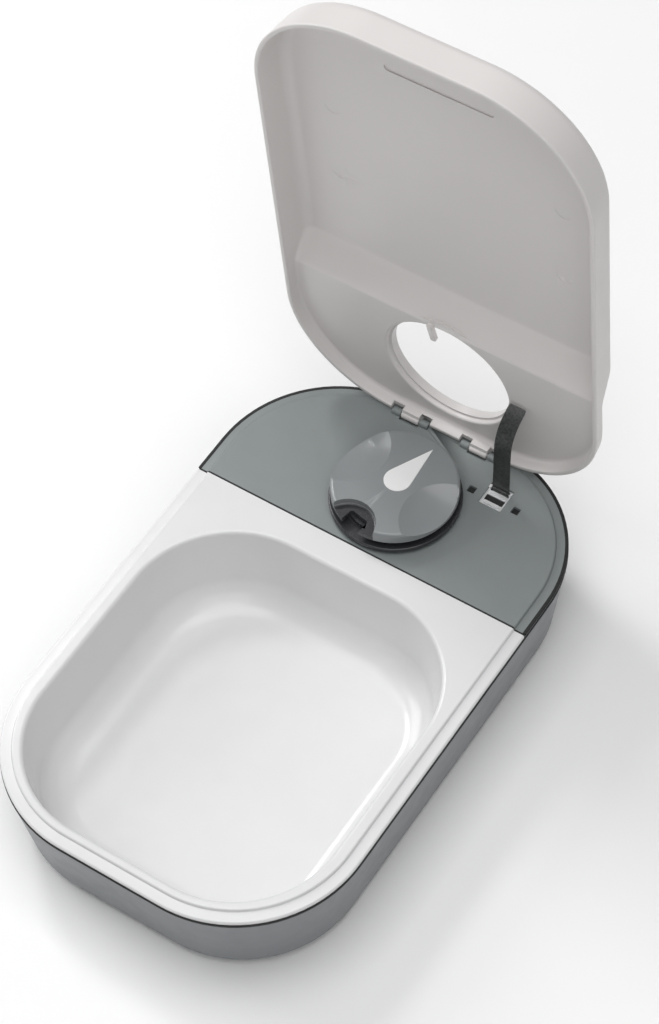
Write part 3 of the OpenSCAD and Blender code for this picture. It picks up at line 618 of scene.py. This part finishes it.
def make_lid():
    shares = [0.12, 0.5, 1.0] + [1 + k / 8 for k in range(1, 9)] + [2.3, 2.6, 3.0]
    rim = 0.9
    inner = [lid_row(s, WALL, WALL) for s in reversed(shares)]
    edge = [(LID_R - WALL + 0.25, LID_Z + 0.2), (LID_R - WALL + 0.6, LID_Z),
            (LID_R - rim, LID_Z)] + arc(LID_R - rim, LID_Z + rim, rim, -60, 0, 3)
    outer = [lid_row(s, 0, 0) for s in shares]
    lid = loft("lid_shell", LID_SPINE, inner + edge + outer, lid_stops())
    under = LID_LOW - WALL
    collar = lathe("collar", (0, DIAL_Y), [(0, under + 0.6), (HOLE_R + 5, under + 0.6)]
                   + arc(HOLE_R + 2.2 + 2, LID_LOW + 2, 2, 270, 180, 6)
                   + arc(HOLE_R + 1.2, COLLAR_TOP - 1, 1, 0, 90, 5) + [(0, COLLAR_TOP)])
    add(lid, collar)
    flare = 1.2
    hole = lathe("hole", (0, DIAL_Y), [(0, LID_Z - 2), (HOLE_R + flare, LID_Z - 2)]
                 + arc(HOLE_R + flare, under + flare, flare, 270, 180, 5)
                 + [(HOLE_R, LID_LOW), (HOLE_R - 0.3, LID_LOW + 0.3), (HOLE_R - 1.3, LID_LOW + 0.3)]
                 + arc(HOLE_R - 0.6, COLLAR_TOP - 0.7, 0.7, 180, 90, 4)
                 + [(HOLE_R - 0.6, LID_DEEP), (0, LID_DEEP)])
    cut(lid, hole)
    # catch tooth that hooks under the dial's disc
    tooth = block("tooth", (-1.5, DIAL_Y - HOLE_R - 3, GROOVE_Z + 0.8),
                  (1.5, DIAL_Y - HOLE_R + 8, under + 0.25), 0.5)
    add(lid, turned(tooth, (0, DIAL_Y), -11))
    gap_half = 3.2
    for side in (-1, 1):
        x = side * HINGE_X
        arm = block("arm", (x - ARM_W / 2, LID_BACK - 3.2, HINGE_Z),
                    (x + ARM_W / 2, HINGE_Y + KNUCKLE_R - 0.1, HINGE_Z + 6), 0.4)
        add(lid, arm, rod_x("eye", x - ARM_W / 2, x + ARM_W / 2, HINGE_Y, HINGE_Z, KNUCKLE_R, 48))
        for end in (-1, 1):
            middle = x + end * (ARM_W / 2 + gap_half)
            cut(lid, block("gap", (middle - gap_half, LID_BACK - 6, LID_Z - 1),
                           (middle + gap_half, LID_BACK + 2, LID_Z + 3.4), 0.3))
        cut(lid, rod_x("pin_hole", x - 7, x + 7, HINGE_Y, HINGE_Z, 1.25, 48))
    # faint moulded marks on the inner face
    ceiling = LID_DEEP - WALL
    cut(lid, prism("panel_mark", rounded(-29, -108.5, 28, -104, 2), ceiling - 3, ceiling + 0.6))
    r, low, high = 4.5, ceiling - 3, ceiling + 0.15
    for spot in ((62, -12), (62, -60), (-60, -12), (-60, -60)):
        cut(lid, lathe("ejector", spot, [(0, low), (r, low), (r, high), (0, high)], 48))
    soften(lid, 0.3, 2, 40)
    return place(opened(lid), "lid", LID_WHITE, "lid_plastic", "lid")


# ---------------------------------------------------------------- dial

def make_dial():
    centre = (0, DIAL_Y)
    body = lathe("dial_body", centre,
                 [(0, FLANGE_Z), (DIAL_R - 0.8, FLANGE_Z)]
                 + arc(DIAL_R - 0.7, FLANGE_Z + 0.7, 0.7, -70, 0, 4)
                 + arc(DIAL_R - 0.7, GROOVE_Z - 0.7, 0.7, 0, 90, 5)
                 + [(26.5, GROOVE_Z), (26, GROOVE_Z + 0.5), (26, DISC_Z - 0.5), (26.5, DISC_Z)]
                 + arc(DISC_R - 0.6, DISC_Z + 0.6, 0.6, -90, 0, 4)
                 + arc(DISC_R - 1.8, DIAL_TOP - 1.8, 1.8, 0, 90, 8)
                 + [(DISC_R - 8, DIAL_TOP), (0, DIAL_TOP)], 160)
    edge, middle, depth = 11, 32.9, 4.6
    half = middle - edge
    ball = (half ** 2 + depth ** 2) / (2 * depth)
    for side in (-1, 1):
        rim = half + 3
        steps = [rim * k / 22 for k in range(23)]
        bowl = [(r, DIAL_TOP - depth + ball - math.sqrt(ball ** 2 - r ** 2)) for r in steps]
        cut(body, lathe("scoop", (side * middle, DIAL_Y),
                        bowl + [(rim, DIAL_TOP + 9), (0, DIAL_TOP + 9)], 128))
    cut(body, lathe("scallop", (0, DIAL_Y - NOTCH_OUT), [(0, DISC_Z + 3), (NOTCH_R - 1, DISC_Z + 3)]
                    + arc(NOTCH_R - 1, DISC_Z + 4, 1, -60, 0, 4)
                    + [(NOTCH_R, DIAL_TOP + 10), (0, DIAL_TOP + 10)], 96))
    cut(body, block("slot", (-5.5, DIAL_Y - 41, DISC_Z - 0.4), (5.5, DIAL_Y - 24.3, 80), 1.2))
    hollow = cut(lathe("hollow", centre, [(0, 55), (23.5, 55), (23.5, 62.2), (0, 62.2)], 96),
                 lathe("core", centre, [(0, 54), (7, 54), (7, 64), (0, 64)], 64))
    cut(body, hollow)
    cut(body, lathe("bore", centre, [(0, 55), (3.02, 55), (3.02, 67), (0, 67)], 64))
    cut(body, pointer_solid("inlay", 0.02, DIAL_TOP - 1.22, DIAL_TOP + 3))
    merge_flats(body)
    soften(body, 0.35, 3, 28)
    level_shading(body)
    place(body, "dial", SMOKE, "dial_plastic", "dial_knob")
    # faces low on the dial take the near-black plastic, and round the notch the limit is raised so
    # that its floor takes it too: partly a dark inner part, partly painted shade in the groove, the
    # slot and the notch
    body.data.materials.append(DIAL_DARK_AND_SHADE)
    notch = Vector((0, DIAL_Y - NOTCH_OUT, 0)) * MM
    for face in body.data.polygons:
        near = (face.center - notch).to_2d().length < (NOTCH_R + 0.2) * MM
        if face.center.z < (DISC_Z + (3.3 if near else 0.9)) * MM:
            face.material_index = 1
    return turned(body, centre, -DIAL_TURN)


def pointer_solid(name, grow, z0, z1):
    """Teardrop: a round bulb drawn out to a point."""
    r, tip = 7 + grow, 25 + grow
    side = math.degrees(math.acos(r / tip))
    outline = [(tip, 0)] + arc(0, 0, r, side, 360 - side, 40)
    return prism(name, [(-y, DIAL_Y + 2 + x) for x, y in outline], z0, z1)


def make_pointer():
    pointer = pointer_solid("pointer_inlay", 0, DIAL_TOP - 1.2, DIAL_TOP + 0.2)
    soften(pointer, 0.18, 3, 40)
    turned(pointer, (0, DIAL_Y), -DIAL_TURN)
    return place(pointer, "dial", INLAY, "pointer_plastic", "dial_pointer")


# ---------------------------------------------------------------- leaf spring and clip

def spline(points, steps):
    """Smooth curve through points (Catmull-Rom)."""
    out = []
    for i in range(len(points) - 1):
        a, b, c, d = (points[max(0, min(len(points) - 1, i + k))] for k in (-1, 0, 1, 2))
        for s in range(steps):
            t = s / steps
            out.append(tuple(0.5 * (2 * b[k] + (c[k] - a[k]) * t
                                    + (2 * a[k] - 5 * b[k] + 4 * c[k] - d[k]) * t * t
                                    + (3 * b[k] - a[k] - 3 * c[k] + d[k]) * t ** 3)
                             for k in range(2)))
    return out + [points[-1]]


def make_leaf():
    """Strip that curls round its wire, stands up and hooks over to the lid."""
    y0, z0 = LEAF_FOOT
    eye = [(y0 + x, z0 + z) for x, z in arc(0, 0, 0.75, 250, 20, 8)]
    path = spline([eye[-1], (y0 + 0.5, z0 + 4), (y0 + 1.1, z0 + 14), (y0 + 1.6, z0 + 26),
                   (y0 + 2.8, z0 + 36), (y0 + 6.2, z0 + 43), (y0 + 11.4, z0 + 47.4),
                   (y0 + 16.5, z0 + 50.2)], 8)
    line = eye[:-1] + path
    half = LEAF_T / 2
    # cross-section with rounded edges, as (across, through)
    section = (arc(LEAF_W / 2 - half * 0.8, 0, half * 0.8, -90, 90, 4)
               + arc(-LEAF_W / 2 + half * 0.8, 0, half * 0.8, 90, 270, 4))
    points, faces, n = [], [], len(section)
    for i, (y, z) in enumerate(line):
        a, b = line[max(0, i - 1)], line[min(len(line) - 1, i + 1)]
        along = Vector((b[0] - a[0], b[1] - a[1])).normalized()
        tip = min(1, (len(line) - 1 - i) / 6)
        narrow = 0.88 + 0.12 * math.sqrt(1 - (1 - tip) ** 2)
        thick = 0.8 if i < len(eye) else 1.0
        points += [(LEAF_X + u * narrow, y - along[1] * v * thick, z + along[0] * v * thick)
                   for u, v in section]
    for i in range(len(line) - 1):
        a, b = i * n, (i + 1) * n
        faces += [(a + k, a + (k + 1) % n, b + (k + 1) % n, b + k) for k in range(n)]
    faces += [tuple(range(n)), tuple(range(len(points) - n, len(points)))]
    leaf = piece("leaf_strip", points, faces)
    smooth(leaf, 60)
    leaf.data.materials.append(LEAF)
    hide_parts("leaf_spring_lower", "leaf_spring_upper")
    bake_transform(leaf)
    return leaf


def make_clip():
    plate = block("clip_plate", (CLIP_LOW[0], PAD_FRONT, PAD_Z),
                  (CLIP_HIGH[0], PAD_BACK, PAD_Z + 0.6), 0.8)
    for name, front, back in (("window", -1, 2.6), ("well", 5.2, 8.5)):
        cut(plate, block(name, (SLOT_LOW, PAD_Y + front, THROUGH[0]),
                         (SLOT_HIGH, PAD_Y + back, THROUGH[1]), 0.5))
    for y, top in ((PAD_Y - 3.4, 1.6), (PAD_Y + 3.2, 1.1)):
        add(plate, block("bar", (LEAF_X - 4.4, y, PAD_Z + 0.4),
                         (LEAF_X + 4.4, y + 1.9, PAD_Z + top), 0.7))
    for side in (-1, 1):
        x = LEAF_X + side * 5.75
        add(plate, block("bearing", (x - 0.5, LEAF_FOOT[0] - 1, PAD_Z + 0.4),
                         (x + 0.5, LEAF_FOOT[0] + 1, PAD_Z + 2.2), 0.2))
    add(plate, rod_x("wire", LEAF_X - 6.2, LEAF_X + 6.2, LEAF_FOOT[0], LEAF_FOOT[1], 0.35, 24))
    soften(plate, 0.2, 3, 40)
    return place(plate, "base", CHROME, "clip_metal", "spring_clip")


# ---------------------------------------------------------------- stage, light, camera

FLOOR_HALF = 6000
WORLD_STRENGTH = 0.18


def make_stage():
    reach = FLOOR_HALF
    floor = piece("studio_floor", [(-reach, -reach, 0), (reach, -reach, 0), (reach, reach, 0),
                                   (-reach, reach, 0)], [(0, 1, 2, 3)])
    floor.data.materials.append(surface("studio_white", (0.98, 0.98, 0.98), (0.6, 0.7), 0.002,
                                        (300, 0.0)))
    world = bpy.data.worlds.new("studio")
    bpy.context.scene.world = world
    world.use_nodes = True
    back = world.node_tree.nodes["Background"]
    back.inputs["Color"].default_value = (1, 1, 1, 1)
    back.inputs["Strength"].default_value = WORLD_STRENGTH


# name, place and target in metres, side in metres, watts
LAMPS = (
    ("top", (0.0, 0.0, 2.2), (0.0, 0.0, 0.0), 1.6, 22),
    ("back_left", (-1.6, 0.9, 2.2), (0.0, 0.0, 0.05), 0.5, 15),
    ("left", (-1.5, 0.1, 0.9), (0.0, 0.0, 0.05), 0.9, 9.5),
    ("front_right", (0.9, -1.0, 1.6), (0.0, 0.0, 0.1), 1.6, 10),
)


def lamp(name, place_m, target_m, side, power):
    """Square area light."""
    data = bpy.data.lights.new(name, "AREA")
    data.shape = "RECTANGLE"
    data.size = side
    data.size_y = side
    data.energy = power
    obj = bpy.data.objects.new(name, data)
    obj.location = place_m
    obj.rotation_euler = (Vector(target_m) - Vector(place_m)).to_track_quat("-Z", "Y").to_euler()
    bpy.context.scene.collection.objects.link(obj)


# metres, degrees and millimetres, from the fit to the outlines in the photo
CAMERA_PLACE = (0.525634, -0.65599, 1.347591)
CAMERA_AZIMUTH = 37.0356
CAMERA_ELEVATION = 54.785
CAMERA_ROLL = -4.6301
CAMERA_LENS = 113.04


def make_camera():
    az, el, roll = (math.radians(a) for a in (CAMERA_AZIMUTH, CAMERA_ELEVATION, CAMERA_ROLL))
    right = Vector((math.cos(az), math.sin(az), 0))
    back = Vector((math.sin(az) * math.cos(el), -math.cos(az) * math.cos(el), math.sin(el)))
    up = back.cross(right)
    x_axis = right * math.cos(roll) + up * math.sin(roll)
    y_axis = up * math.cos(roll) - right * math.sin(roll)
    data = bpy.data.cameras.new("camera")
    data.lens = CAMERA_LENS
    data.sensor_width = 36
    data.clip_end = 50
    obj = bpy.data.objects.new("camera", data)
    turn = Matrix((x_axis, y_axis, back)).transposed().to_4x4()
    obj.matrix_world = Matrix.Translation(CAMERA_PLACE) @ turn
    bpy.context.scene.collection.objects.link(obj)
    bpy.context.scene.camera = obj


# ---------------------------------------------------------------- build

make_stage()
make_camera()
for one in LAMPS:
    lamp(*one)
bpy.context.scene.view_settings.view_transform = "Standard"

dress_nodes()
make_bowl()
make_deck()
make_seal()
make_lid()
make_dial()
make_pointer()
make_leaf()
make_clip()
